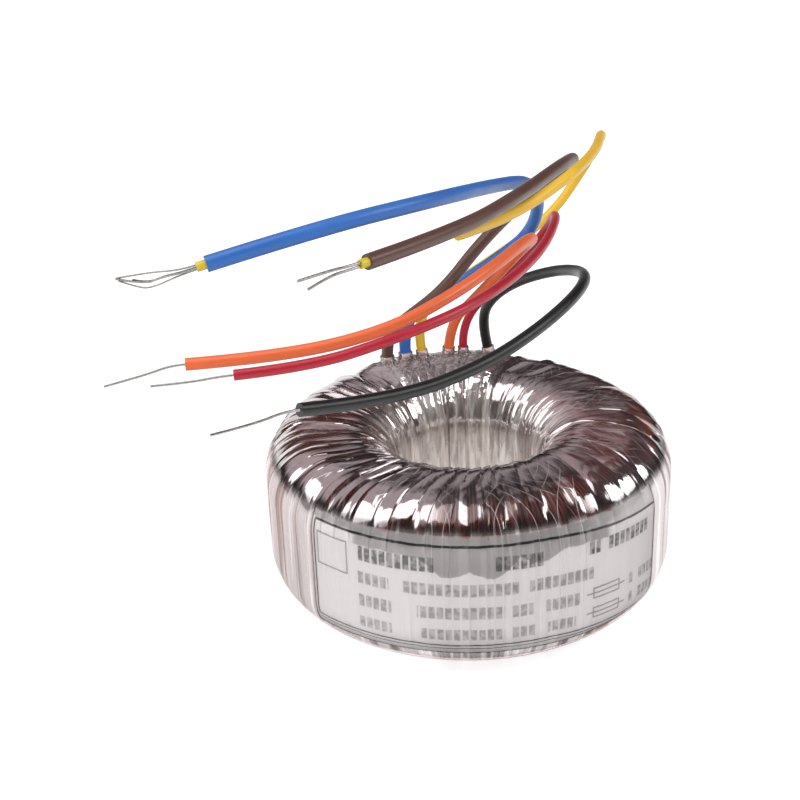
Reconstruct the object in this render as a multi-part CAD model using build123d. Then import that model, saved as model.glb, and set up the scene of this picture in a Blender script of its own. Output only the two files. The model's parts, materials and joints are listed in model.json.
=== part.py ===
from build123d import *
import os
from math import cos, pi, radians, sin, tan
from typing import NamedTuple

# A toroidal mains transformer: a wound strip core, a primary and two secondary windings, all under
# a pleated wrap of clear film, with a label band below the film and six leads out of the top.
# Millimetres, +Z up. The origin is at the centre of the base, on the ring's axis.
# Angles are in degrees about +Z from +X. The leads come out at the back, towards +Y.

# Core
core_inner_radius = 18.5
core_outer_radius = 30.0
core_height = 20.0
core_edge = 0.3

# Tape round the core
core_tape_thickness = 0.5
core_tape_corner = 0.8

# Primary winding: its build on the outside, over the ends and in the bore, and its corners
primary_outside = 1.3
primary_ends = 1.6
primary_bore = 2.2
primary_outer_corner = 2.6
primary_bore_corner = 3.0
primary_wire = 0.4

# Tape between the primary and the secondaries
barrier_thickness = 0.25

# Secondary windings: both leave the same sector of the ring bare, where the leads come out
secondary_1_outside = 1.1
secondary_1_ends = 1.0
secondary_1_bore = 1.35
secondary_1_outer_corner = 5.0
secondary_1_bore_corner = 5.5
secondary_2_outside = 1.35
secondary_2_ends = 1.15
secondary_2_bore = 1.4
secondary_2_outer_corner = 8.3
secondary_2_bore_corner = 8.6
secondary_wire = 0.65
bare_sector_middle = 101.5
bare_sector_half = 29.0

# Label band, between the windings and the film
label_thickness = 0.12
label_low_margin = 4.7
label_high_margin = 3.9
label_start = 224.5
label_sweep = 105.0

# Film wrap: each turn is tucked in at one edge and stands proud at the other
film_thickness = 0.3
film_turns = 68
wall_pleat = 0.2
top_pleat = 0.4
pleat_unevenness = 0.35
pleat_rhythm = 137.5
hump_height = 0.9
hump_flat_half = 22.0
hump_fade = 10.0
bore_allowance = 0.15

# Sleeves over the joints between the windings and the leads
collar_height = 0.7
sleeve_wall = 0.25
sleeve_length = 4.0
sleeve_elbow = 1.5
sleeve_clearance = 0.06
tail_straight = 1.2
tail_depth = 3.0
tail_lift = 0.05

# Leads
arc_share = 0.45
primary_lead_diameter = 2.2
inner_sleeve_diameter = 1.3
inner_sleeve_length = 1.3
bare_straight = 2.2


class Outline(NamedTuple):
    """The section through one side of the ring: its four sides and its corner radii."""

    bore: float
    outside: float
    low: float
    high: float
    outer_corner: float
    bore_corner: float

    def grown(self, outside, ends, bore, outer_corner, bore_corner):
        return Outline(
            self.bore - bore,
            self.outside + outside,
            self.low - ends,
            self.high + ends,
            outer_corner,
            bore_corner,
        )

    def wrapped(self, thickness):
        corners = self.outer_corner + thickness, self.bore_corner + thickness
        return self.grown(thickness, thickness, thickness, *corners)

    def section(self):
        size = self.outside - self.bore, self.high - self.low
        middle = (self.outside + self.bore) / 2, (self.high + self.low) / 2
        area = Pos(*middle) * Rectangle(*size)
        area = fillet(area.vertices().group_by(Axis.X)[-1], self.outer_corner)
        area = fillet(area.vertices().group_by(Axis.X)[0], self.bore_corner)
        return Plane.XZ * area


ends_build = core_tape_thickness + primary_ends + barrier_thickness
ends_build += secondary_1_ends + secondary_2_ends
core_low = film_thickness + ends_build

core_outline = Outline(
    core_inner_radius, core_outer_radius, core_low, core_low + core_height, core_edge, core_edge
)
core_tape_outline = core_outline.grown(
    core_tape_thickness, core_tape_thickness, core_tape_thickness, core_tape_corner, core_tape_corner
)
primary_outline = core_tape_outline.grown(
    primary_outside, primary_ends, primary_bore, primary_outer_corner, primary_bore_corner
)
barrier_outline = primary_outline.wrapped(barrier_thickness)
secondary_1_outline = barrier_outline.grown(
    secondary_1_outside,
    secondary_1_ends,
    secondary_1_bore,
    secondary_1_outer_corner,
    secondary_1_bore_corner,
)
secondary_2_outline = secondary_1_outline.grown(
    secondary_2_outside,
    secondary_2_ends,
    secondary_2_bore,
    secondary_2_outer_corner,
    secondary_2_bore_corner,
)
label_outline = secondary_2_outline.wrapped(label_thickness)
film_outline = secondary_2_outline.wrapped(film_thickness)
collar_top = film_outline.high + top_pleat + hump_height + collar_height
ring_middle_radius = (film_outline.outside + film_outline.bore) / 2


class Lead(NamedTuple):
    """A lead's size, its route, its inner sleeve if it has one, and its bare wires.

    The points count from the middle of the bare sector, at the height of the sleeves' tops. A bare
    wire's first point is its offset from the lead's axis, in the plane of the cut end."""

    diameter: float
    route: list
    double_insulated: bool
    wire_diameter: float
    wires: list


leads = {
    "brown": Lead(
        primary_lead_diameter,
        [
            (-9.8, 0.2, 0.0),
            (-9.8, 0.3, 5.4),
            (-5.8, -2.7, 9.4),
            (1.7, -6.7, 15.4),
            (9.2, -4.2, 23.4),
            (17.7, 5.8, 28.9),
            (24.7, 9.3, 34.4),
            (25.2, 2.3, 38.4),
            (20.7, -13.7, 38.9),
            (13.7, -33.2, 39.9),
            (4.2, -52.7, 40.4),
            (-7.8, -67.2, 40.9),
        ],
        True,
        0.4,
        [
            [(0.0, 0.25), (-12.3, -71.2, 41.2), (-16.1, -74.5, 41.0)],
            [(0.0, -0.25), (-12.3, -71.5, 40.6), (-14.9, -74.0, 39.7)],
        ],
    ),
    "blue": Lead(
        primary_lead_diameter,
        [
            (-6.5, 1.9, 0.0),
            (-6.8, 2.3, 6.4),
            (-0.8, -0.7, 12.9),
            (9.2, -1.7, 19.9),
            (16.7, -4.2, 25.4),
            (19.2, -7.7, 31.4),
            (17.2, -14.7, 37.4),
            (10.2, -29.2, 40.4),
            (1.2, -50.7, 44.4),
            (-13.8, -64.7, 44.9),
            (-28.3, -69.7, 41.9),
        ],
        True,
        0.3,
        [
            [(0.0, 0.3), (-34.6, -70.5, 41.2), (-40.0, -70.9, 40.7)],
            [(0.25, -0.15), (-35.9, -71.5, 40.0), (-39.8, -71.5, 40.3)],
            [(-0.25, -0.15), (-35.3, -70.6, 39.2), (-38.8, -70.4, 40.0)],
        ],
    ),
    "yellow": Lead(
        1.8,
        [
            (-3.5, 3.0, 0.0),
            (-4.3, 3.3, 5.4),
            (-0.3, 7.3, 9.4),
            (10.2, 16.3, 13.9),
            (21.7, 23.3, 19.9),
            (30.2, 27.3, 27.9),
            (32.2, 23.3, 35.4),
            (30.7, 13.3, 38.4),
            (27.7, -2.7, 38.4),
            (22.7, -24.7, 40.4),
            (16.2, -41.7, 41.4),
            (10.2, -49.2, 39.4),
            (3.7, -47.7, 36.9),
        ],
        False,
        0.45,
        [[(0.0, 0.0), (-2.1, -48.3, 35.9), (-7.7, -49.1, 35.2)]],
    ),
    "orange": Lead(
        1.9,
        [
            (1.6, 4.1, 0.0),
            (2.2, 3.3, 5.4),
            (6.2, 0.8, 10.4),
            (11.7, -1.7, 16.4),
            (15.7, -5.2, 21.9),
            (16.7, -11.2, 25.9),
            (15.2, -19.7, 27.9),
            (10.2, -32.2, 27.9),
            (2.7, -42.7, 26.4),
            (-6.8, -49.7, 24.4),
            (-21.3, -53.2, 22.9),
            (-35.3, -54.7, 21.9),
        ],
        False,
        0.45,
        [[(0.0, 0.0), (-41.4, -55.6, 20.6), (-47.4, -56.5, 19.3)]],
    ),
    "red": Lead(
        1.6,
        [
            (4.3, 4.3, 0.0),
            (4.2, 4.3, 4.9),
            (9.7, 6.8, 10.4),
            (16.2, 8.8, 16.4),
            (20.2, 8.8, 21.9),
            (21.7, 4.3, 26.4),
            (21.2, -4.7, 27.4),
            (17.7, -19.2, 25.9),
            (12.7, -34.2, 26.4),
            (5.2, -49.2, 26.9),
            (-5.8, -57.7, 25.4),
            (-16.8, -61.2, 23.9),
            (-27.3, -62.7, 23.4),
        ],
        False,
        0.45,
        [[(0.0, 0.0), (-33.4, -63.4, 22.7), (-38.8, -63.8, 22.4)]],
    ),
    "black": Lead(
        1.9,
        [
            (8.9, 4.0, 0.0),
            (7.7, 4.3, 5.4),
            (9.7, 1.3, 10.9),
            (14.7, -3.7, 15.9),
            (21.2, -11.7, 20.4),
            (24.7, -22.2, 23.4),
            (22.7, -35.2, 24.9),
            (16.2, -46.2, 23.4),
            (7.2, -56.2, 21.4),
            (-4.8, -66.2, 20.9),
            (-16.8, -75.7, 23.9),
        ],
        False,
        0.45,
        [[(0.0, 0.0), (-22.1, -79.8, 23.9), (-27.2, -83.1, 24.0)]],
    ),
}

# The tails that join the secondaries to their leads: how far in from the middle of the ring the wire
# leaves the winding, and how far from the sleeve it turns towards it
secondary_1_tails = {"black": (2.4, 3.0), "red": (4.0, 4.5)}
secondary_2_tails = {"yellow": (0.3, 3.7), "orange": (1.8, 4.5)}
primary_tails = ["brown", "blue"]
tail_hole = 0.6
primary_tail_inset = 0.7


def ring(section, start=0.0, sweep_angle=360.0):
    return Rot(0, 0, start) * revolve(section, Axis.Z, sweep_angle)


def layer(outer, inner, start=0.0, sweep_angle=360.0):
    return ring(outer.section() - inner.section(), start, sweep_angle)


def bend_radii(points):
    radii = []
    for first, corner, last in zip(points, points[1:], points[2:]):
        before, after = Vector(corner) - Vector(first), Vector(last) - Vector(corner)
        half_turn = radians(before.get_angle(after) / 2)
        radii.append(arc_share * min(before.length, after.length) / tan(half_turn))
    return radii


def tube(points, diameter, radii=None):
    path = FilletPolyline(*points, radius=radii or bend_radii(points))
    profile = Plane(origin=path @ 0, z_dir=path % 0) * Circle(diameter / 2)
    return sweep(profile, path)


def ring_point(radius, angle):
    return Vector(radius * cos(radians(angle)), radius * sin(radians(angle)), 0)


def placed(points):
    """Points of a lead's route, in the ring's frame."""
    middle = ring_point(ring_middle_radius, bare_sector_middle) + Vector(0, 0, collar_top)
    return [middle + Vector(*point) for point in points]


def lead_route(name):
    return placed(leads[name].route)


# Sleeves and tails


def sleeve_diameter(name):
    return leads[name].diameter + 2 * sleeve_wall


def sleeve_route(name):
    """From the sleeve's inner end, along the tape and up in line with the lead."""
    top, above = lead_route(name)[:2]
    height = barrier_outline.high + sleeve_diameter(name) / 2
    rise = (above - top) * ((top.Z - height) / (above.Z - top.Z))
    corner = top - rise
    return [corner - Vector(0, sleeve_length, 0), corner, top]


def exit_sleeve(name, clearance=0.0):
    diameter = sleeve_diameter(name) + 2 * clearance
    return tube(sleeve_route(name), diameter, [sleeve_elbow])


def secondary_tail(name, angle, layer_below, inset, approach):
    first = ring_point(ring_middle_radius - inset, angle)
    first.Z = layer_below.high + secondary_wire / 2 + tail_lift
    inner_end = sleeve_route(name)[0]
    turn = Vector(inner_end.X, inner_end.Y - approach, first.Z)
    level = inner_end - Vector(0, tail_straight, 0)
    return tube([first, turn, level, inner_end], secondary_wire)


def primary_tail(name, diameter):
    inner_end = sleeve_route(name)[0]
    base = Pos(inner_end.X, inner_end.Y + primary_tail_inset, primary_outline.high - primary_ends / 2)
    height = barrier_outline.high - primary_outline.high + primary_ends / 2
    return base * Cylinder(diameter / 2, height, align=(Align.CENTER, Align.CENTER, Align.MIN))


# Core and windings


def winding(outer, inner):
    start = bare_sector_middle + bare_sector_half
    return layer(outer, inner, start, 360 - 2 * bare_sector_half)


def core():
    return ring(core_outline.section())


def core_insulation():
    return layer(core_tape_outline, core_outline)


def primary_winding():
    tails = [primary_tail(name, primary_wire) for name in primary_tails]
    return layer(primary_outline, core_tape_outline) + tails


def interwinding_insulation():
    holes = [primary_tail(name, tail_hole) for name in primary_tails]
    return layer(barrier_outline, primary_outline) - holes


def secondary_1_winding():
    angle = bare_sector_middle - bare_sector_half - tail_depth
    below = barrier_outline
    tails = [secondary_tail(name, angle, below, *tail) for name, tail in secondary_1_tails.items()]
    return winding(secondary_1_outline, below) + tails


def secondary_2_winding():
    angle = bare_sector_middle + bare_sector_half + tail_depth
    below = secondary_1_outline
    tails = [secondary_tail(name, angle, below, *tail) for name, tail in secondary_2_tails.items()]
    return winding(secondary_2_outline, below) + tails


# Film wrap and label band


def label_band():
    strip = label_outline.section() - secondary_2_outline.section()
    low = secondary_2_outline.low + label_low_margin
    high = secondary_2_outline.high - label_high_margin
    size = film_outline.outside - core_outer_radius, high - low
    window = Plane.XZ * Pos(core_outer_radius, low) * Rectangle(*size, align=(Align.MIN, Align.MIN))
    return ring(strip & window, label_start, label_sweep)


def hump(angle):
    """How far the film stands over the sleeves at an angle round the ring."""
    away = abs((angle - bare_sector_middle + 180) % 360 - 180)
    fade = min(max((away - hump_flat_half) / hump_fade, 0), 1)
    return hump_height * (1 + cos(pi * fade)) / 2


def meridian(angle):
    along = radians(angle)
    return Plane(origin=(0, 0, 0), x_dir=(cos(along), sin(along), 0), z_dir=(sin(along), -cos(along), 0))


def film_section(angle, wall, top):
    """The edges of the film's section at an angle, outside and then in the bore, from the base up and
    over and down. The wall and the top stand out from the tucked outline by the amounts given."""
    plane = meridian(angle)
    outline = film_outline
    corner, bore_corner = outline.outer_corner, outline.bore_corner
    bore = outline.bore - bore_allowance

    def arc(centre, radii, start):
        centre_place = plane.location * Location((centre[0], centre[1], 0))
        return centre_place * Edge.make_ellipse(*radii, Plane.XY, start, start + 90)

    def line(start, end):
        ends = [plane.from_local_coords((point[0], point[1], 0)) for point in (start, end)]
        return Edge.make_line(*ends)

    outer_centre, bore_centre = outline.outside - corner, bore + bore_corner
    low_centre, high_centre = outline.low + corner, outline.high - corner
    bore_low, bore_high = outline.low + bore_corner, outline.high - bore_corner
    proud, crown = outline.outside + wall, outline.high + top
    outside = [
        arc((outer_centre, low_centre), (corner + wall, corner), 270),
        line((proud, low_centre), (proud, high_centre)),
        arc((outer_centre, high_centre), (corner + wall, corner + top), 0),
        line((outer_centre, crown), (bore_centre, crown)),
        arc((bore_centre, bore_high), (bore_corner, bore_corner + top), 90),
    ]
    inside = [
        line((bore, bore_high), (bore, bore_low)),
        arc((bore_centre, bore_low), (bore_corner, bore_corner), 180),
    ]
    return outside, inside


def film_turn(start, end, pleat):
    """The faces of one turn: tucked in at its start, and proud of the next turn at its end."""
    first_outside, first_inside = film_section(start, 0, hump(start))
    last_outside, last_inside = film_section(end, wall_pleat * pleat, hump(end) + top_pleat * pleat)
    next_outside, next_inside = film_section(end, 0, hump(end))
    pairs = zip(first_outside + first_inside, last_outside + next_inside)
    faces = [Face.make_surface_from_curves(first, last) for first, last in pairs]
    return faces + [Face(Wire(last_outside + next_outside))]


def film_base():
    angles = [radians(360 * turn / film_turns) for turn in range(film_turns)]
    outer = film_outline.outside - film_outline.outer_corner
    inner = film_outline.bore - bore_allowance + film_outline.bore_corner
    wires = [
        Wire.make_polygon([(radius * cos(angle), radius * sin(angle), 0) for angle in angles])
        for radius in (outer, inner)
    ]
    return Face(wires[0], [wires[1]])


def film_wrap():
    step = 360 / film_turns
    faces = [film_base()]
    for turn in range(film_turns):
        pleat = 1 + pleat_unevenness * (sin(radians(pleat_rhythm * turn)) - 1) / 2
        faces += film_turn(turn * step, (turn + 1) * step, pleat)
    wrap = Part() + Solid(Shell(faces))
    wrap -= Cylinder(film_outline.bore, film_outline.high * 2)
    wrap -= ring(secondary_2_outline.section())
    wrap -= label_band()
    return wrap - [exit_sleeve(name, sleeve_clearance) for name in leads]


# Leads


def end_plane(points):
    """The plane of a tube's cut end, with its local y axis upwards."""
    along = (points[-1] - points[-2]).normalized()
    return Plane(origin=points[-1], x_dir=Vector(0, 0, 1).cross(along), z_dir=along)


def inner_insulation(name):
    return extrude(end_plane(lead_route(name)) * Circle(inner_sleeve_diameter / 2), inner_sleeve_length)


def tinned_end(name):
    lead = leads[name]
    plane = end_plane(lead_route(name))
    if lead.double_insulated:
        plane = plane.offset(inner_sleeve_length)
    wires = []
    for (across, up), *places in lead.wires:
        straight = [plane.from_local_coords((across, up, out)) for out in (0, bare_straight)]
        wires.append(tube(straight + placed(places), lead.wire_diameter))
    return Part() + wires


os.makedirs("parts", exist_ok=True)

pieces = {
    "core": core(),
    "core_insulation": core_insulation(),
    "primary_winding": primary_winding(),
    "interwinding_insulation": interwinding_insulation(),
    "secondary_1_winding": secondary_1_winding(),
    "secondary_2_winding": secondary_2_winding(),
    "label_band": label_band(),
    "film_wrap": film_wrap(),
}
for name, lead in leads.items():
    pieces[f"{name}_exit_sleeve"] = exit_sleeve(name)
    pieces[f"{name}_lead"] = tube(lead_route(name), lead.diameter)
    if lead.double_insulated:
        pieces[f"{name}_lead_inner_insulation"] = inner_insulation(name)
    pieces[f"{name}_tinned_end"] = tinned_end(name)
    radii = [round(radius, 1) for radius in bend_radii(lead.route)]
    print(name, "lead", lead.diameter, "bend radii", radii)

for name, piece in pieces.items():
    export_step(piece, f"parts/{name}.step")
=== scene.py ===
import json
import math

import bpy
from bpy.props import FloatProperty, FloatVectorProperty, IntProperty, PointerProperty
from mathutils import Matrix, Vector


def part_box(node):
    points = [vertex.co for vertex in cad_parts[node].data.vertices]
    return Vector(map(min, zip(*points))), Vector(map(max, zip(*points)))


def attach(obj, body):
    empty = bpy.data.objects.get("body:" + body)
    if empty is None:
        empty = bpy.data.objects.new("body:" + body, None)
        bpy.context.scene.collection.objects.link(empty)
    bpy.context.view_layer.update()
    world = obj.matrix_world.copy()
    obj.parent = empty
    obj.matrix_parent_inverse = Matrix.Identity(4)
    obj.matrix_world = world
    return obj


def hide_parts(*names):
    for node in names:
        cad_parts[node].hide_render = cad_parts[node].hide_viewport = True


# A toroidal mains transformer: enamelled copper turns under a pleated wrap of clear polyester film,
# with a printed band below the film and six leads standing over the ring.
# Metres, +Z up. The ring's axis is Z and it stands on Z = 0.

bl_info = {
    "name": "Toroidal Transformer",
    "version": (1, 0, 0),
    "blender": (4, 5, 0),
    "location": "View3D > Sidebar > Transformer",
    "description": "Dresses a toroidal transformer with film, turns of wire, a label and leads",
    "category": "Object",
}

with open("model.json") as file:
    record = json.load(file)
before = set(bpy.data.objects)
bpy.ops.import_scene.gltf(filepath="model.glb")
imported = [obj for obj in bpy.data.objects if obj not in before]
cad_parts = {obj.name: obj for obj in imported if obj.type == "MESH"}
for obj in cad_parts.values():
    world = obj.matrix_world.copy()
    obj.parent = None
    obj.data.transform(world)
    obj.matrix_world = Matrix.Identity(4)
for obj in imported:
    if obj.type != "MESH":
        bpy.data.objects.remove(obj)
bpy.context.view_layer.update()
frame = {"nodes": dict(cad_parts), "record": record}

MM = 0.001
FILM_LOW, FILM_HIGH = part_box("film_wrap")
TURNS_LOW, TURNS_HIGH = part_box("secondary_2_winding")
BORE_RADIUS = frame["record"]["mounts"][0]["dims"]["r_mm"] * MM

# Where the leads come out: the angle round the ring from +X, and the middle of the sleeves' tops in mm
EXIT_TURN = math.radians(101.5)
SLEEVES_ABOVE_FILM = 0.7
EXIT_MIDDLE = Vector((-4.715, 23.175, FILM_HIGH.z / MM + SLEEVES_ABOVE_FILM))

# The leads' routes in mm, from that middle, and their diameters and lengths in mm
ROUTES = {
    "brown": [
        (-9.8, 0.2, 0.0),
        (-9.7, 0.1, 4.6),
        (-5.5, -2.9, 8.8),
        (1.2, -6.7, 15.3),
        (7.9, -4.2, 23.3),
        (17.1, 5.8, 29.0),
        (24.0, 9.0, 33.3),
        (24.4, 2.0, 36.3),
        (20.7, -13.7, 38.9),
        (13.7, -33.2, 39.9),
        (4.2, -52.7, 40.4),
        (-7.8, -67.2, 40.9),
    ],
    "blue": [
        (-6.5, 1.9, 0.0),
        (-6.8, 2.3, 6.0),
        (-0.8, -0.7, 11.4),
        (9.4, -1.7, 18.2),
        (16.2, -4.2, 24.2),
        (17.9, -7.7, 31.0),
        (15.6, -14.7, 36.9),
        (9.2, -29.2, 40.1),
        (1.2, -50.7, 44.4),
        (-13.8, -64.7, 44.9),
        (-28.3, -69.7, 41.9),
    ],
    "yellow": [
        (-3.5, 3.0, 0.0),
        (-4.3, 3.3, 5.4),
        (-0.3, 7.3, 9.4),
        (10.2, 16.3, 13.1),
        (21.7, 23.3, 19.1),
        (28.5, 27.3, 27.9),
        (31.1, 23.3, 34.6),
        (30.0, 13.3, 37.6),
        (27.4, -4.2, 38.8),
        (22.7, -19.7, 39.5),
        (16.8, -28.4, 37.9),
        (10.2, -37.4, 37.0),
        (3.9, -47.1, 38.0),
    ],
    "orange": [
        (1.6, 4.1, 0.0),
        (2.2, 3.3, 5.4),
        (6.2, 0.8, 10.4),
        (11.2, -1.7, 16.7),
        (15.1, -5.2, 22.2),
        (16.7, -11.2, 25.9),
        (15.2, -19.7, 28.4),
        (10.2, -32.2, 28.7),
        (2.7, -42.7, 27.1),
        (-6.8, -49.7, 24.4),
        (-21.3, -53.2, 22.2),
        (-35.6, -54.7, 21.8),
    ],
    "red": [
        (4.3, 4.3, 0.0),
        (4.2, 4.3, 4.9),
        (9.7, 6.8, 10.4),
        (16.2, 8.8, 16.4),
        (20.2, 8.8, 21.4),
        (21.2, 4.3, 25.6),
        (20.8, -4.7, 26.7),
        (17.7, -19.2, 26.5),
        (12.7, -34.2, 27.1),
        (5.2, -49.2, 27.5),
        (-5.8, -57.7, 26.1),
        (-16.8, -61.2, 23.9),
        (-27.3, -62.7, 23.4),
    ],
    "black": [
        (8.9, 4.0, 0.0),
        (7.7, 4.3, 5.4),
        (9.7, 1.3, 10.9),
        (14.7, -3.7, 15.9),
        (21.2, -11.7, 20.4),
        (24.7, -22.2, 23.4),
        (22.7, -35.2, 24.9),
        (16.2, -46.2, 23.4),
        (7.2, -56.2, 21.4),
        (-4.8, -66.2, 20.9),
        (-16.8, -75.7, 23.9),
    ],
}
DIAMETERS = {"brown": 2.2, "blue": 2.2, "yellow": 1.8, "orange": 1.9, "red": 1.6, "black": 1.9}
# The bare wires' diameter in mm and, for each wire, its offset in the cut end and the places that it
# goes through
WIRES = {
    "brown": (
        0.4,
        [
            [(0.0, 0.25), (-12.3, -71.2, 41.2), (-16.1, -74.5, 41.0)],
            [(0.0, -0.25), (-12.3, -71.5, 40.6), (-14.9, -74.0, 39.7)],
        ],
    ),
    "blue": (
        0.24,
        [
            [(0.0, 0.3), (-36.0, -69.6, 40.9), (-40.1, -70.2, 40.4)],
            [(0.2, -0.1), (-33.9, -70.4, 40.5), (-36.4, -70.2, 39.5), (-40.1, -70.3, 40.3)],
            [(-0.2, -0.1), (-34.5, -70.2, 40.3), (-36.2, -69.9, 39.4), (-40.0, -70.1, 40.3)],
            [(0.1, -0.3), (-35.6, -70.4, 39.0), (-37.4, -70.3, 39.2), (-39.7, -70.4, 40.1)],
            [(0.0, 0.0), (-33.6, -70.3, 40.7), (-35.9, -70.1, 39.7), (-38.0, -69.9, 40.1)],
        ],
    ),
    "yellow": (0.38, [[(0.0, 0.0), (0.6, -50.4, 37.9), (-2.0, -53.6, 37.9)]]),
    "orange": (0.38, [[(0.0, 0.0), (-41.4, -55.6, 20.6), (-47.4, -56.5, 19.3)]]),
    "red": (0.38, [[(0.0, 0.0), (-33.4, -63.4, 22.7), (-38.8, -63.8, 22.4)]]),
    "black": (0.38, [[(0.0, 0.0), (-22.1, -79.8, 23.9), (-27.2, -83.1, 24.0)]]),
}
# These have inner insulation too, which stands out of the outer by so many mm. Each bare wire is
# straight for its first few mm.
INNER_SLEEVED = ("brown", "blue")
INNER_SLEEVE = 1.3
BARE_STRAIGHT = 2.2

# The film's section: where it lies on the wall and on top, and its corners' radii, in metres
WRAP_WALL, WRAP_TOP = 34.8 * MM, 29.6 * MM
WRAP_BORE_CORNER, WRAP_OUTER_CORNER = 8.9 * MM, 8.6 * MM
# The turns of wire: their clearance from the bore, and the corners' radii over the wire
TURNS_CLEARANCE = 0.3 * MM
TURNS_OUTER_CORNER, OUTER_TURN_BORE_CORNER, INNER_TURN_BORE_CORNER = 8.3 * MM, 8.6 * MM, 8.0 * MM
CORNER_STEPS = 12

# The kinds of node that are used most. A Mix node's two colours are its inputs 6 and 7, and what it
# gives is its output 2.
MATHS, RANGE = "ShaderNodeMath", "ShaderNodeMapRange"
NOISE, MIX = "ShaderNodeTexNoise", "ShaderNodeMix"
# How a value is carried from one range to another without a corner
SMOOTH = {"interpolation_type": "SMOOTHSTEP"}

POLYESTER_IOR = 1.64
WHITE = (1.0, 1.0, 1.0, 1.0)
# Each lamp's place and size in metres, the setting for its power and its share of that, and whether
# gloss mirrors it
LAMPS = (
    ("front_box", (-0.13, -0.1, 0.74), 0.62, "key_power", 1.0, True),
    ("left_box", (-0.6, -0.05, 0.46), 0.5, "fill_power", 1.0, True),
    ("right_box", (0.6, 0.0, 0.46), 0.4, "fill_power", 1.2, True),
    ("low_left_box", (-0.5, -0.75, 0.26), 0.5, "low_power", 1.0, False),
    ("low_right_box", (0.45, -0.78, 0.26), 0.5, "low_power", 0.8, False),
)
FLOOR_SIZE = 8.0
WALLS_RADIUS = 1.0


def linear(colour):
    """An sRGB hex colour as linear red, green, blue and alpha."""
    parts = [int(colour[i : i + 2], 16) / 255 for i in (1, 3, 5)]
    return [p / 12.92 if p <= 0.04045 else ((p + 0.055) / 1.055) ** 2.4 for p in parts] + [1.0]


def add(tree, kind, links=(), **settings):
    """Adds a node. links gives its inputs, in order as a list, or by name or number as a dict. Each is a
    value, another node's output, or a node, which stands for its first output."""
    node = tree.nodes.new(kind)
    for name, value in settings.items():
        setattr(node, name, value)
    inputs = links.items() if isinstance(links, dict) else enumerate(links)
    for key, value in inputs:
        if isinstance(value, bpy.types.Node):
            value = value.outputs[0]
        if isinstance(value, bpy.types.NodeSocket):
            tree.links.new(value, node.inputs[key])
        else:
            node.inputs[key].default_value = value
    return node


def material(name):
    """A new material and its empty tree."""
    made = bpy.data.materials.new(name)
    made.use_nodes = True
    made.node_tree.nodes.clear()
    return made, made.node_tree


def give(piece, made):
    """Puts one material on a piece, in place of what it has."""
    piece.data.materials.clear()
    piece.data.materials.append(made)


def in_scene(name, data):
    """A new object in the scene that shows this data."""
    piece = bpy.data.objects.new(name, data)
    bpy.context.scene.collection.objects.link(piece)
    return piece


# Materials


def round_axis(tree):
    """A place's X, Y and Z, and how far it is from the ring's axis."""
    where = add(tree, "ShaderNodeTexCoord").outputs["Object"]
    axes = add(tree, "ShaderNodeSeparateXYZ", {0: where}).outputs
    squares = [add(tree, MATHS, [axes[a], axes[a]], operation="MULTIPLY") for a in "XY"]
    total = add(tree, MATHS, squares, operation="ADD")
    return axes, add(tree, MATHS, [total], operation="SQRT")


def degrees_from_front(tree, axes):
    """How far round the ring a place is, in degrees to the right of the middle of the label's side."""
    forward = add(tree, MATHS, [axes["Y"], -1.0], operation="MULTIPLY")
    angle = add(tree, MATHS, [axes["X"], forward], operation="ARCTAN2")
    return add(tree, MATHS, [angle], operation="DEGREES")


def ring_vector(tree, angle, run):
    """A place as a point on a circle and a distance along the turn, so that noise closes round the ring."""
    circle = [add(tree, MATHS, [angle], operation=way) for way in ("COSINE", "SINE")]
    return add(tree, "ShaderNodeCombineXYZ", [*circle, run])


def drawn_out(tree, ring, width, length, detail=2.0):
    """Noise drawn out along the turns. Its patches are as wide as this on the wall, and as long."""
    around = WRAP_WALL / width
    stretch = (around, around, 1 / length)
    where = add(tree, "ShaderNodeVectorMath", [ring, stretch], operation="MULTIPLY")
    return add(tree, NOISE, {"Vector": where, "Scale": 1.0, "Detail": detail, "Roughness": 0.55})


def extruded_pvc(name, colour):
    """Flexible PVC, extruded over the strands: satin, with a faint orange peel. The colour is linear."""
    made, tree = material(name)
    where = add(tree, "ShaderNodeTexCoord").outputs["Object"]
    mottle = add(tree, NOISE, {"Vector": where, "Scale": 1 / (5.56 * MM)})
    # Real orange peel on wire is too fine to show, so this is coarser
    peel = add(tree, NOISE, {"Vector": where, "Scale": 1 / (0.714 * MM)})
    shade = [c * 0.8 for c in colour] + [1.0]
    base = add(tree, MIX, {0: mottle, 6: shade, 7: [*colour, 1.0]}, data_type="RGBA").outputs[2]
    links = {
        "Base Color": base,
        "Roughness": add(tree, RANGE, [mottle, 0.2, 0.8, 0.34, 0.46], **SMOOTH),
        "IOR": 1.53,
        "Subsurface Weight": 0.06,
        "Subsurface Radius": (0.6, 0.4, 0.3),
        "Subsurface Scale": 1.0 * MM,
        "Normal": add(tree, "ShaderNodeBump", {"Height": peel, "Distance": 0.04 * MM, "Strength": 0.5}),
    }
    surface = add(tree, "ShaderNodeBsdfPrincipled", links)
    add(tree, "ShaderNodeOutputMaterial", {"Surface": surface})
    return made


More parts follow.
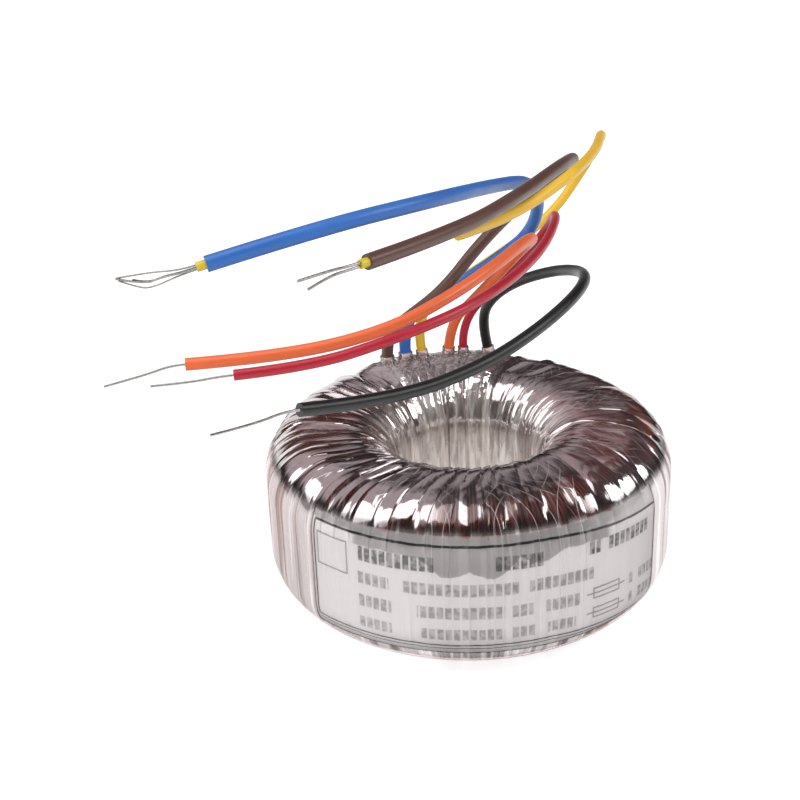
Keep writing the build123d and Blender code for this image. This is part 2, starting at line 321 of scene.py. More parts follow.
def tinned_copper():
    """Drawn copper strands, dipped in tin: grey, with a warm cast where the tin is thin."""
    made, tree = material("Tinned copper")
    where = add(tree, "ShaderNodeTexCoord").outputs["Object"]
    patches = add(tree, NOISE, {"Vector": where, "Scale": 1 / (1.11 * MM), "Detail": 3.0})
    thin = add(tree, RANGE, [patches, 0.58, 0.85], **SMOOTH)
    base = add(tree, MIX, {0: thin, 6: linear("#ADABA8"), 7: linear("#9C8A7A")}, data_type="RGBA").outputs[2]
    links = {
        "Base Color": base,
        "Metallic": 1.0,
        "Roughness": add(tree, RANGE, [patches, 0.3, 0.7, 0.28, 0.42], **SMOOTH),
        "Normal": add(tree, "ShaderNodeBump", {"Height": patches, "Distance": 0.03 * MM}),
    }
    surface = add(tree, "ShaderNodeBsdfPrincipled", links)
    add(tree, "ShaderNodeOutputMaterial", {"Surface": surface})
    return made


def enamelled_copper(name, turns=0, pitch=0.65 * MM):
    """Copper wire under polyurethane enamel: red-brown metal with a clear glossy coat.
    A solid that stands for many turns has them drawn as grooves."""
    made, tree = material(name)
    where = add(tree, "ShaderNodeTexCoord").outputs["Object"]
    tone = add(tree, NOISE, {"Vector": where, "Scale": 1 / (3.85 * MM), "Detail": 3.0})
    base = add(tree, MIX, {0: tone, 6: linear("#7E2D15"), 7: linear("#D0683A")}, data_type="RGBA").outputs[2]
    links = {
        "Base Color": base,
        "Metallic": 1.0,
        "Roughness": 0.34,
        "Coat Weight": 0.6,
        "Coat Roughness": 0.12,
        "Coat IOR": 1.6,
    }
    if turns:
        axes = add(tree, "ShaderNodeSeparateXYZ", {0: where})
        angle = add(tree, MATHS, [axes.outputs["Y"], axes.outputs["X"]], operation="ARCTAN2")
        wave = add(
            tree, MATHS, [add(tree, MATHS, [angle, float(turns)], operation="MULTIPLY")], operation="SINE"
        )
        links["Normal"] = add(tree, "ShaderNodeBump", {"Height": wave, "Distance": pitch / 4})
    surface = add(tree, "ShaderNodeBsdfPrincipled", links)
    add(tree, "ShaderNodeOutputMaterial", {"Surface": surface})
    return made


def plain_tape(name, colour):
    """Polyester tape, slit and wound: smooth, with faint lines across it."""
    made, tree = material(name)
    where = add(tree, "ShaderNodeTexCoord").outputs["Object"]
    tone = add(tree, NOISE, {"Vector": where, "Scale": 1 / (3.33 * MM)})
    shade = [c * 0.85 for c in linear(colour)[:3]] + [1.0]
    base = add(tree, MIX, {0: tone, 6: shade, 7: linear(colour)}, data_type="RGBA").outputs[2]
    links = {
        "Base Color": base,
        "Roughness": 0.3,
        "IOR": POLYESTER_IOR,
        "Normal": add(tree, "ShaderNodeBump", {"Height": tone, "Distance": 0.1 * MM}),
    }
    surface = add(tree, "ShaderNodeBsdfPrincipled", links)
    add(tree, "ShaderNodeOutputMaterial", {"Surface": surface})
    return made


def silicon_steel():
    """Grain-oriented silicon steel strip, rolled and wound: satin grey, with a line at each turn."""
    made, tree = material("Silicon steel strip")
    radius = round_axis(tree)[1]
    strip_thickness = 0.3 * MM
    layers = add(tree, MATHS, [radius, 2 * math.pi / strip_thickness], operation="MULTIPLY")
    line = add(tree, MATHS, [layers], operation="SINE")
    tone = add(tree, RANGE, [line, -1.0, 1.0], **SMOOTH)
    base = add(tree, MIX, {0: tone, 6: linear("#6E7073"), 7: linear("#8C8F93")}, data_type="RGBA").outputs[2]
    links = {
        "Base Color": base,
        "Metallic": 1.0,
        "Roughness": 0.4,
        "Normal": add(tree, "ShaderNodeBump", {"Height": line, "Distance": 0.05 * MM}),
    }
    surface = add(tree, "ShaderNodeBsdfPrincipled", links)
    add(tree, "ShaderNodeOutputMaterial", {"Surface": surface})
    return made


def band(tree, value, low, high, edge):
    """One inside a range of a value and nothing outside it."""
    rise = add(tree, RANGE, [value, low - edge, low + edge], **SMOOTH)
    fall = add(tree, RANGE, [value, high - edge, high + edge, 1.0, 0.0], **SMOOTH)
    return add(tree, MATHS, [rise, fall], operation="MULTIPLY")


# What is printed: left and right in degrees round from the middle, low and high in mm
LABEL_RULES = ((-44.6, 90.0, 23.8, 24.2), (-44.6, 90.0, 6.5, 6.75), (-44.6, 90.0, 5.85, 6.0))
LABEL_RULES += ((-44.9, -44.4, 6.6, 24.0),)
LABEL_FRAME = (-43.6, -33.0, 16.4, 22.3)
LABEL_BOLD_FIELDS = ((-29.5, -8.4, 19.7, 22.2), (6.7, 19.2, 19.9, 22.3), (32.0, 36.0, 20.0, 22.2))
LABEL_BOLD_FIELDS += ((38.5, 56.0, 20.0, 22.3),)
LABEL_FIELDS = (
    (-29.9, -21.0, 15.6, 17.7),
    (-17.0, 13.0, 15.6, 17.7),
    (15.5, 34.0, 15.6, 17.7),
    (-29.9, -20.5, 11.5, 13.6),
    (-13.5, 9.0, 11.5, 13.6),
    (11.0, 16.5, 11.5, 13.6),
    (20.0, 29.7, 11.5, 13.6),
    (-29.9, -20.5, 7.7, 9.6),
    (-12.5, 9.0, 7.7, 9.6),
    (11.0, 17.0, 7.7, 9.6),
    (20.5, 28.7, 7.7, 9.6),
    (47.0, 49.0, 11.9, 13.8),
    (51.5, 61.0, 11.9, 13.8),
    (47.0, 49.0, 8.4, 10.3),
    (51.5, 61.0, 8.4, 10.3),
)
# A fuse's drawing is a box with its wire through it
LABEL_FUSES = ((34.0, 43.5, 11.8, 13.9), (34.0, 43.5, 8.3, 10.3))
# How soft the print's edges are in mm, the blocks' pitch in degrees, and how dark each kind prints
LINE_EDGE, BLOCK_EDGE, BLOCK_PITCH = 0.04, 0.12, 2.15
BOX_INK, BOLD_INK, FAINT_INK = 0.6, 0.9, 0.55
# The label was laid askew: it sinks past these degrees, by this many mm for each degree
SINKS_FROM, SINKS_BY = 22.0, 0.043


def printed(tree, across, height, boxes, edge):
    """The fields of print that boxes give, as one value."""
    ink = 0.0
    for left, right, low, high in boxes:
        tall = band(tree, height, low, high, edge)
        wide = band(tree, across, left, right, edge * 1.65)
        ink = add(
            tree, MATHS, [ink, add(tree, MATHS, [tall, wide], operation="MULTIPLY")], operation="MAXIMUM"
        )
    return ink


def printed_label():
    """White polyester label stock, printed in black: two rules, plain fields in rows, and a patch
    under the upper rule where the film lies wet on it."""
    made, tree = material("Printed label stock")
    where = add(tree, "ShaderNodeTexCoord").outputs["Object"]
    axes = add(tree, "ShaderNodeSeparateXYZ", {0: where}).outputs
    across = degrees_from_front(tree, axes)
    past = add(tree, MATHS, [across, SINKS_FROM], operation="SUBTRACT")
    past = add(tree, MATHS, [past, 0.0], operation="MAXIMUM")
    wobble = add(tree, NOISE, {"Vector": where, "Scale": 1 / (2.38 * MM), "Detail": 3.0})
    ripple = add(tree, MATHS, [wobble, 0.5], operation="SUBTRACT")
    ripple = add(tree, MATHS, [ripple, 0.3], operation="MULTIPLY")
    shift = add(tree, MATHS, [past, SINKS_BY], operation="MULTIPLY")
    shift = add(tree, MATHS, [shift, ripple], operation="ADD")
    height = add(tree, MATHS, [axes["Z"], 1 / MM, shift], operation="MULTIPLY_ADD")

    def inked(boxes, edge=LINE_EDGE):
        return printed(tree, across, height, boxes, edge)

    rules = inked(LABEL_RULES)
    drawn = (*LABEL_FUSES, LABEL_FRAME)
    insides = [(a + 0.45, b - 0.45, c + 0.28, d - 0.28) for a, b, c, d in drawn]
    wires = [(a - 2, b + 2, (c + d) / 2 - 0.14, (c + d) / 2 + 0.14) for a, b, c, d in LABEL_FUSES]
    outlines = add(tree, MATHS, [inked(drawn), inked(insides)], operation="SUBTRACT")
    boxes = add(tree, MATHS, [outlines, inked(wires)], operation="MAXIMUM")
    boxes = add(tree, MATHS, [boxes, BOX_INK], operation="MULTIPLY")
    blocks = add(tree, MATHS, [across, BLOCK_PITCH], operation="DIVIDE")
    blocks = add(tree, MATHS, [blocks], operation="FRACT")
    blocks = band(tree, blocks, 0.13, 0.87, 0.06)
    grain = add(tree, NOISE, {"Vector": where, "Scale": 1 / (1.11 * MM), "Detail": 1.0})
    grain = add(tree, RANGE, [grain, 0.4, 0.6, 0.55, 1.0], **SMOOTH)
    grain = add(tree, MATHS, [grain, blocks], operation="MULTIPLY")
    bold = add(tree, MATHS, [inked(LABEL_BOLD_FIELDS, BLOCK_EDGE), BOLD_INK], operation="MULTIPLY")
    faint = add(tree, MATHS, [inked(LABEL_FIELDS, BLOCK_EDGE), FAINT_INK], operation="MULTIPLY")
    fields = add(tree, MATHS, [bold, faint], operation="MAXIMUM")
    fields = add(tree, MATHS, [fields, grain], operation="MULTIPLY")
    ink = add(tree, MATHS, [rules, boxes], operation="MAXIMUM")
    ink = add(tree, MATHS, [ink, fields], operation="MAXIMUM")

    # The wet patch hangs in scallops, longest near the middle
    scallops = add(tree, MATHS, [across, 0.24], operation="MULTIPLY")
    scallops = add(tree, MATHS, [scallops], operation="SINE")
    scallops = add(tree, MATHS, [scallops], operation="ABSOLUTE")
    middle = band(tree, across, -8.0, 9.0, 9.0)
    wide = band(tree, across, -12.0, 26.0, 9.0)
    hang = add(tree, MATHS, [scallops, wide, middle], operation="MULTIPLY_ADD")
    highest = add(tree, MATHS, [wobble, -1.2, 22.9], operation="MULTIPLY_ADD")
    hang = add(tree, MATHS, [hang, -2.1, highest], operation="MULTIPLY_ADD")
    depth = add(tree, MATHS, [height, hang], operation="SUBTRACT")
    above = add(tree, RANGE, [depth, -0.15, 0.15], **SMOOTH)
    wetted = add(tree, MATHS, [above, band(tree, across, -31.0, 39.0, 1.0)], operation="MULTIPLY")
    paper = add(
        tree, MIX, {0: wetted, 6: linear("#F6F5F5"), 7: linear("#B9B6B6")}, data_type="RGBA"
    ).outputs[2]
    to_right = add(tree, RANGE, [across, 28.0, 50.0], **SMOOTH)
    strip = add(
        tree, MIX, {0: to_right, 6: linear("#BDBBBB"), 7: linear("#E4E2E2")}, data_type="RGBA"
    ).outputs[2]
    over_rule = add(tree, RANGE, [height, 24.1, 24.4], **SMOOTH)
    paper = add(tree, MIX, {0: over_rule, 6: paper, 7: strip}, data_type="RGBA").outputs[2]
    base = add(tree, MIX, {0: ink, 6: paper, 7: linear("#1E1D20")}, data_type="RGBA").outputs[2]
    links = {
        "Base Color": base,
        "Roughness": 0.45,
        "IOR": 1.5,
        "Normal": add(tree, "ShaderNodeBump", {"Height": wobble, "Distance": 0.1 * MM}),
    }
    surface = add(tree, "ShaderNodeBsdfPrincipled", links)
    add(tree, "ShaderNodeOutputMaterial", {"Surface": surface})
    return made


def film_shader(tree, tint, milk_colour, milk, shine, roughness, normal):
    """Film: part is seen through, part is milky where layers trap air, and part shines. It stands for
    several layers, so it shines more than one does."""
    fresnel = add(tree, "ShaderNodeFresnel", {"IOR": POLYESTER_IOR, "Normal": normal})
    clear = add(tree, "ShaderNodeBsdfTransparent", {"Color": tint})
    cloudy = add(tree, "ShaderNodeBsdfDiffuse", {"Color": milk_colour, "Normal": normal})
    links = {"Color": linear("#FFF8F8"), "Roughness": roughness, "Normal": normal}
    gloss = add(tree, "ShaderNodeBsdfGlossy", links)
    body = add(tree, "ShaderNodeMixShader", {0: milk, 1: clear, 2: cloudy})
    mirror = add(tree, RANGE, [fresnel, 0.06, 1.0], **SMOOTH)
    mirror = add(tree, MATHS, [mirror, shine], operation="MAXIMUM")
    whole = add(tree, "ShaderNodeMixShader", {0: mirror, 1: body, 2: gloss})
    add(tree, "ShaderNodeOutputMaterial", {"Surface": whole})


def layer_edges(tree, ring, angle, radius):
    """The edges of the layers below, in two sets that lean either way over the top. Each stays within
    a few turns of straight, and shows only here and there."""
    edges = 0.0
    stray_length, stray_turns, seen_length = 667 * MM, 6.0, 83.3 * MM
    lean = add(tree, RANGE, [radius, 0.034, 0.013], **SMOOTH)
    sets = ((68.0, 6.0, 41.76 * MM, 5.8 * MM), (61.0, -5.0, 26.1 * MM, 3.625 * MM))
    for turns, slant, stray_width, seen_width in sets:
        stray = drawn_out(tree, ring, stray_width, stray_length, 0.0)
        stray = add(tree, MATHS, [stray, stray_turns], operation="MULTIPLY")
        count = add(tree, MATHS, [angle, turns / (2 * math.pi), stray], operation="MULTIPLY_ADD")
        count = add(tree, MATHS, [lean, slant, count], operation="MULTIPLY_ADD")
        away = add(tree, MATHS, [count], operation="FRACT")
        away = add(tree, MATHS, [away, 0.5], operation="SUBTRACT")
        away = add(tree, MATHS, [away], operation="ABSOLUTE")
        line = add(tree, RANGE, [away, 0.03, 0.0], **SMOOTH)
        seen = drawn_out(tree, ring, seen_width, seen_length, 0.0)
        seen = add(tree, RANGE, [seen, 0.5, 0.6], **SMOOTH)
        line = add(tree, MATHS, [line, seen], operation="MULTIPLY")
        edges = add(tree, MATHS, [edges, line], operation="MAXIMUM")
    return edges


def polyester_wrap():
    """Clear polyester film, pulled tight and lapped: mirror-bright ribs over the top, crossed by the
    fine edges of the layers below, milky in the bore and where no label lies under it."""
    made, tree = material("Polyester film wrap")
    axes, radius = round_axis(tree)
    angle = add(tree, MATHS, [axes["Y"], axes["X"]], operation="ARCTAN2")
    across = degrees_from_front(tree, axes)
    along = add(tree, "ShaderNodeAttribute", attribute_name="along").outputs["Fac"]
    ring = ring_vector(tree, angle, along)

    # Zones: the wall, what of it has no label under it, the bore, and what is gathered at the leads
    wall = add(tree, RANGE, [radius, 0.0322, 0.0338], **SMOOTH)
    wide = band(tree, across, -45.5, 59.5, 0.5)
    tall = band(tree, axes["Z"], 0.0050, 0.0254, 0.0002)
    labelled = add(tree, MATHS, [wide, tall], operation="MULTIPLY")
    bare = add(tree, MATHS, [1.0, labelled], operation="SUBTRACT")
    below_shoulder = add(tree, RANGE, [axes["Z"], 0.0265, 0.0245], **SMOOTH)
    bare_wall = add(tree, MATHS, [wall, bare], operation="MULTIPLY")
    bare_wall = add(tree, MATHS, [bare_wall, below_shoulder], operation="MULTIPLY")
    gaps = drawn_out(tree, ring, 2.175 * MM, 143 * MM, 1.0)
    gaps = add(tree, RANGE, [gaps, 0.52, 0.62], **SMOOTH)
    between = add(tree, MATHS, [gaps, -0.75, 1.0], operation="MULTIPLY_ADD")
    bare_wall = add(tree, MATHS, [bare_wall, between], operation="MULTIPLY")
    bore = add(tree, RANGE, [radius, 0.019, 0.0145], **SMOOTH)
    away = add(tree, MATHS, [angle, EXIT_TURN], operation="SUBTRACT")
    away = add(tree, MATHS, [away], operation="ABSOLUTE")
    away = add(tree, MATHS, [away], operation="DEGREES")
    near = add(tree, RANGE, [away, 32.0, 20.0], **SMOOTH)
    above = add(tree, RANGE, [axes["Z"], 0.024, 0.028], **SMOOTH)
    gathered = add(tree, MATHS, [near, above], operation="MULTIPLY")
    edges = layer_edges(tree, ring, angle, radius)

    # Milk: trapped air in streaks on the bare wall and in clouds down in the bore, and more milk on the bare
    # wall to the right as painted light that makes that side lighter
    streaks = drawn_out(tree, ring, 1.16 * MM, 33.3 * MM, 3.0)
    streaks = add(tree, RANGE, [streaks, 0.5, 0.72], **SMOOTH)
    clouds = drawn_out(tree, ring, 3.867 * MM, 11.1 * MM, 3.0)
    clouds = add(tree, RANGE, [clouds, 0.4, 0.7], **SMOOTH)
    sunk = add(tree, MATHS, [clouds, -0.004, axes["Z"]], operation="MULTIPLY_ADD")
    low = add(tree, RANGE, [sunk, 0.019, 0.013], **SMOOTH)
    deep = add(tree, MATHS, [bore, low], operation="MULTIPLY")
    streaky = add(tree, MATHS, [streaks, 0.65, 0.3], operation="MULTIPLY_ADD")
    cloudy = add(tree, MATHS, [clouds, 0.85, 0.15], operation="MULTIPLY_ADD")
    milk = add(tree, MATHS, [streaky, bare_wall, 0.015], operation="MULTIPLY_ADD")
    bore_milk = add(tree, MATHS, [bore, 0.55], operation="MULTIPLY")
    milk = add(tree, MATHS, [cloudy, bore_milk, milk], operation="MULTIPLY_ADD")
    # More milk to the right: painted light, which lightens the right of the bare wall
    right_painted_light = add(tree, RANGE, [axes["X"], 0.0, 0.03, 0.0, 0.3], **SMOOTH)
    milk = add(tree, MATHS, [bare_wall, right_painted_light, milk], operation="MULTIPLY_ADD")
    milk = add(tree, MATHS, [deep, 0.8, milk], operation="MULTIPLY_ADD")
    milk = add(tree, MATHS, [gathered, 0.14, milk], operation="MULTIPLY_ADD")
    milk = add(tree, MATHS, [streaks, 0.06, milk], operation="MULTIPLY_ADD")
    edge_milk = add(tree, RANGE, [wall, 0.0, 1.0, 0.48, 0.18], **SMOOTH)
    milk = add(tree, MATHS, [edges, edge_milk, milk], operation="MULTIPLY_ADD", use_clamp=True)
    milk_colour = add(
        tree, MIX, {0: bore, 6: linear("#F8F2F2"), 7: linear("#FBF7EF")}, data_type="RGBA"
    ).outputs[2]

    # Shine: strongest on top to the left, a painted sheen that lightens that side, and broken by clear slots
    # over the front's shoulder
    top_shine = add(tree, RANGE, [axes["X"], -0.02, 0.005, 0.58, 0.42], **SMOOTH)
    shine = add(tree, RANGE, [wall, 0.0, 1.0, top_shine, 0.07], **SMOOTH)
    shine = add(tree, MATHS, [bare_wall, 0.25, shine], operation="MULTIPLY_ADD")
    slots = drawn_out(tree, ring, 1.657 * MM, math.inf, 1.0)
    slots = add(tree, RANGE, [slots, 0.44, 0.52], **SMOOTH)
    slots = add(tree, MATHS, [slots, band(tree, across, -9.0, 36.0, 4.0)], operation="MULTIPLY")
    outer = add(tree, RANGE, [radius, 0.0235, 0.0275], **SMOOTH)
    slots = add(tree, MATHS, [slots, outer], operation="MULTIPLY")
    between = add(tree, MATHS, [slots, -0.85, 1.0], operation="MULTIPLY_ADD")
    shine = add(tree, MATHS, [shine, between], operation="MULTIPLY")

    # Relief: fine ribs, the layers' edges, and crumpled film at the leads
    ribs = drawn_out(tree, ring, 1.3385 * MM, 20.0 * MM, 1.0)
    ribs = add(tree, MATHS, [ribs, 0.5], operation="SUBTRACT")
    ribs = add(tree, MATHS, [ribs], operation="ABSOLUTE")
    where = add(tree, "ShaderNodeTexCoord").outputs["Object"]
    crumples = add(tree, NOISE, {"Vector": where, "Scale": 1 / (2.38 * MM)})
    crumples = add(tree, MATHS, [gathered, crumples], operation="MULTIPLY")
    height = add(tree, MATHS, [edges, 0.1, ribs], operation="MULTIPLY_ADD")
    height = add(tree, MATHS, [crumples, 9.0, height], operation="MULTIPLY_ADD")
    strength = add(tree, RANGE, [wall, 0.0, 1.0, 0.3, 0.18], **SMOOTH)
    normal = add(tree, "ShaderNodeBump", {"Height": height, "Distance": 0.2 * MM, "Strength": strength})

    # Tint: just over the label the layers are dense, neutral at the sides and clearer in the middle
    ragged = drawn_out(tree, ring, 1.16 * MM, 167 * MM, 1.0)
    ragged = add(tree, MATHS, [ragged, -0.003, axes["Z"]], operation="MULTIPLY_ADD")
    over_label = add(tree, RANGE, [axes["Z"], 0.0253, 0.0256], **SMOOTH)
    under_top = add(tree, RANGE, [ragged, 0.0263, 0.0255], **SMOOTH)
    outer = add(tree, RANGE, [radius, 0.028, 0.03], **SMOOTH)
    shoulder = add(tree, MATHS, [over_label, under_top], operation="MULTIPLY")
    shoulder = add(tree, MATHS, [shoulder, outer], operation="MULTIPLY")
    shoulder = add(tree, MATHS, [shoulder, 0.85], operation="MULTIPLY")
    middle = band(tree, across, -24.0, 40.0, 6.0)
    dense = add(
        tree, MIX, {0: middle, 6: linear("#6E5553"), 7: linear("#FFB49C")}, data_type="RGBA"
    ).outputs[2]
    tint = add(tree, MIX, {0: wall, 6: linear("#D9C8CB"), 7: linear("#FEFDFD")}, data_type="RGBA").outputs[2]
    tint = add(tree, MIX, {0: shoulder, 6: tint, 7: dense}, data_type="RGBA").outputs[2]
    film_shader(tree, tint, milk_colour, milk, shine, 0.1, normal)
    return made


def film_sleeve():
    """Clear film rolled round a joint: greyish where it is doubled, with bright creases."""
    made, tree = material("Film sleeve")
    where = add(tree, "ShaderNodeTexCoord").outputs["Object"]
    creases = add(tree, NOISE, {"Vector": where, "Scale": 1 / (1.43 * MM), "Detail": 3.0})
    milk = add(tree, RANGE, [creases, 0.35, 0.7, 0.06, 0.34], **SMOOTH)
    normal = add(tree, "ShaderNodeBump", {"Height": creases, "Distance": 0.4 * MM})
    film_shader(tree, linear("#EFE2DF"), linear("#E6DCDA"), milk, 0.2, 0.12, normal)
    return made


# Leads, with their bare ends


def curve_piece(name, runs, diameter, made, roundness=6):
    """Open splines through runs of points in millimetres, as a tube."""
    data = bpy.data.curves.new(name, "CURVE")
    data.dimensions = "3D"
    data.bevel_depth = diameter * MM / 2
    data.bevel_resolution = roundness
    data.resolution_u = 12
    data.use_fill_caps = True
    for points in runs:
        spline = data.splines.new("NURBS")
        spline.points.add(len(points) - 1)
        for target, point in zip(spline.points, points):
            target.co = (*(Vector(point) * MM), 1.0)
        spline.order_u = 3
        spline.use_endpoint_u = True
    piece = in_scene(name, data)
    give(piece, made)
    return piece


def cut_end(points):
    """The place, the way on, and the sideways and upward ways at a lead's cut end."""
    along = (points[-1] - points[-2]).normalized()
    across = Vector((0, 0, 1)).cross(along).normalized()
    return points[-1], along, across, along.cross(across)


def bare_runs(lead, points):
    """Each bare wire's points, from inside the cut end to its tip."""
    end, along, across, up = cut_end(points)
    if lead in INNER_SLEEVED:
        end = end + along * INNER_SLEEVE
    for (sideways, upwards), *places in WIRES[lead][1]:
        start = end + across * sideways + up * upwards
        yield [start, start + along * BARE_STRAIGHT] + [EXIT_MIDDLE + Vector(p) for p in places]


def plain_mesh(name, holder):
    """What an object shows, as a smooth mesh of its own, in place of the object."""
    bpy.context.view_layer.update()
    evaluated = holder.evaluated_get(bpy.context.evaluated_depsgraph_get())
    mesh = bpy.data.meshes.new_from_object(evaluated)
    bpy.data.objects.remove(holder)
    mesh.shade_smooth()
    return in_scene(name, mesh)


def make_lead(lead, colours):
    """One lead: a cord with its bare wires, and the look of its inner insulation."""
    points = [EXIT_MIDDLE + Vector(p) for p in ROUTES[lead]]
    made = extruded_pvc(f"Extruded PVC {lead}", getattr(colours, lead))
    cable = curve_piece(f"{lead}_cable", [points], DIAMETERS[lead], made)
    # The film would break each lead up into coloured specks
    cable.visible_glossy = False
    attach(cable, "root")
    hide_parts(f"{lead}_lead")
    wires = curve_piece(f"{lead}_wires", bare_runs(lead, points), WIRES[lead][0], tinned_copper(), 3)
    strands = plain_mesh(f"{lead}_strands", wires)
    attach(strands, "root")
    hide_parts(f"{lead}_tinned_end")
    if lead in INNER_SLEEVED:
        sleeve = frame["nodes"][f"{lead}_lead_inner_insulation"]
        give(sleeve, extruded_pvc(f"Inner PVC {lead}", colours.inner))


# Turns of wire and the film wrap


def section_curve(name, bore, outside, low, high, bore_corner, outer_corner):
    """The ring's section in the XZ plane as a closed line, from the bottom outwards and round."""
    data = bpy.data.curves.new(name, "CURVE")
    data.dimensions = "3D"
    points = []
    corners = (
        (outside - outer_corner, low + outer_corner, outer_corner, 270),
        (outside - outer_corner, high - outer_corner, outer_corner, 0),
        (bore + bore_corner, high - bore_corner, bore_corner, 90),
        (bore + bore_corner, low + bore_corner, bore_corner, 180),
    )
    for x, z, radius, start in corners:
        for step in range(CORNER_STEPS + 1):
            turn = math.radians(start + 90.0 / CORNER_STEPS * step)
            points.append((x + radius * math.cos(turn), 0.0, z + radius * math.sin(turn)))
    spline = data.splines.new("POLY")
    spline.points.add(len(points) - 1)
    for target, point in zip(spline.points, points):
        target.co = (*point, 1.0)
    spline.use_cyclic_u = True
    return in_scene(name, data)


def tree_with(name, inputs):
    """A new geometry tree, its group input, and each input's identifier by name."""
    tree = bpy.data.node_groups.new(name, "GeometryNodeTree")
    tree.interface.new_socket("Geometry", in_out="OUTPUT", socket_type="NodeSocketGeometry")
    identifiers = {}
    for label, kind in inputs.items():
        made = tree.interface.new_socket(label, in_out="INPUT", socket_type=f"NodeSocket{kind}")
        identifiers[label] = made.identifier
    return tree, tree.nodes.new("NodeGroupInput"), identifiers


def from_tree(name, tree, identifiers, values):
    """Runs a tree on an empty mesh and keeps what it makes as a plain mesh."""
    holder = in_scene(f"{name}_tree", bpy.data.meshes.new(f"{name}_tree"))
    modifier = holder.modifiers.new(name, "NODES")
    modifier.node_group = tree
    for label, value in values.items():
        modifier[identifiers[label]] = value
    return plain_mesh(name, holder)


def turns_tree():
    """Turns of wire round the ring, alternately outer and inner in the bore, where they crowd."""
    tree, group, names = tree_with(
        "Winding turns",
        {
            "Outer Section": "Object",
            "Inner Section": "Object",
            "Turns": "Int",
            "Start": "Float",
            "Sweep": "Float",
            "Wire Diameter": "Float",
            "Unevenness": "Float",
            "Material": "Material",
        },
    )
    given = group.outputs
    sections = tree.nodes.new("GeometryNodeJoinGeometry")
    for label in ("Inner Section", "Outer Section"):
        line = add(tree, "GeometryNodeObjectInfo", {"Object": given[label]})
        single = add(tree, "GeometryNodeGeometryToInstance", {0: line.outputs["Geometry"]})
        tree.links.new(single.outputs[0], sections.inputs[0])
    index = add(tree, "GeometryNodeInputIndex")
    last = add(tree, MATHS, [given["Turns"], 1.0], operation="SUBTRACT")
    share = add(tree, MATHS, [index, last], operation="DIVIDE")
    angle = add(tree, MATHS, [share, given["Sweep"], given["Start"]], operation="MULTIPLY_ADD")
    about_z = add(tree, "ShaderNodeCombineXYZ", {"Z": angle})
    turned = add(tree, "FunctionNodeEulerToRotation", {0: about_z})
    links = {
        "Points": add(tree, "GeometryNodePoints", {"Count": given["Turns"]}),
        "Instance": sections,
        "Pick Instance": True,
        "Instance Index": add(tree, MATHS, [index, 2.0], operation="MODULO"),
        "Rotation": turned,
    }
    placed = add(tree, "GeometryNodeInstanceOnPoints", links)
    lines = add(tree, "GeometryNodeRealizeInstances", {0: placed})
    where = add(tree, "GeometryNodeInputPosition")
    noise = add(tree, NOISE, {"Vector": where, "Scale": 1 / (3.33 * MM)}).outputs["Color"]
    centred = add(tree, "ShaderNodeVectorMath", {0: noise, 1: (0.5, 0.5, 0.5)}, operation="SUBTRACT")
    links = {0: centred, "Scale": given["Unevenness"]}
    jitter = add(tree, "ShaderNodeVectorMath", links, operation="SCALE")
    moved = add(tree, "GeometryNodeSetPosition", {"Geometry": lines, "Offset": jitter})
    radius = add(tree, MATHS, [given["Wire Diameter"], 2.0], operation="DIVIDE")
    circle = add(tree, "GeometryNodeCurvePrimitiveCircle", {"Resolution": 6, "Radius": radius})
    wires = add(tree, "GeometryNodeCurveToMesh", {0: moved, 1: circle})
    finish_tree(tree, wires, given["Material"])
    return tree, names


def finish_tree(tree, geometry, made):
    """Ends a geometry tree: instances made real, and one material on it all."""
    real = add(tree, "GeometryNodeRealizeInstances", {0: geometry})
    coated = add(tree, "GeometryNodeSetMaterial", {"Geometry": real, "Material": made})
    add(tree, "NodeGroupOutput", {0: coated})


def make_turns(settings):
    """The outer winding: one mesh of all its turns of wire."""
    outside, high = TURNS_HIGH.x, TURNS_HIGH.z
    low, bore = TURNS_LOW.z, BORE_RADIUS + TURNS_CLEARANCE
    half = settings.wire_diameter / 2
    limits = outside - half, low + half, high - half
    lines = [
        section_curve(name, bore + inset, *limits, corner - half, TURNS_OUTER_CORNER - half)
        for name, inset, corner in (
            ("outer_turn_line", half, OUTER_TURN_BORE_CORNER),
            ("inner_turn_line", half * 3, INNER_TURN_BORE_CORNER),
        )
    ]
    tree, names = turns_tree()
    turns = from_tree(
        "secondary_turns",
        tree,
        names,
        {
            "Outer Section": lines[0],
            "Inner Section": lines[1],
            "Turns": settings.turns,
            "Start": settings.gap_middle + settings.gap_half,
            "Sweep": 2 * (math.pi - settings.gap_half),
            "Wire Diameter": settings.wire_diameter,
            "Unevenness": settings.unevenness,
            "Material": enamelled_copper("Enamelled copper turns"),
        },
    )
    for line in lines:
        bpy.data.objects.remove(line)
    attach(turns, "root")
    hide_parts("secondary_2_winding")


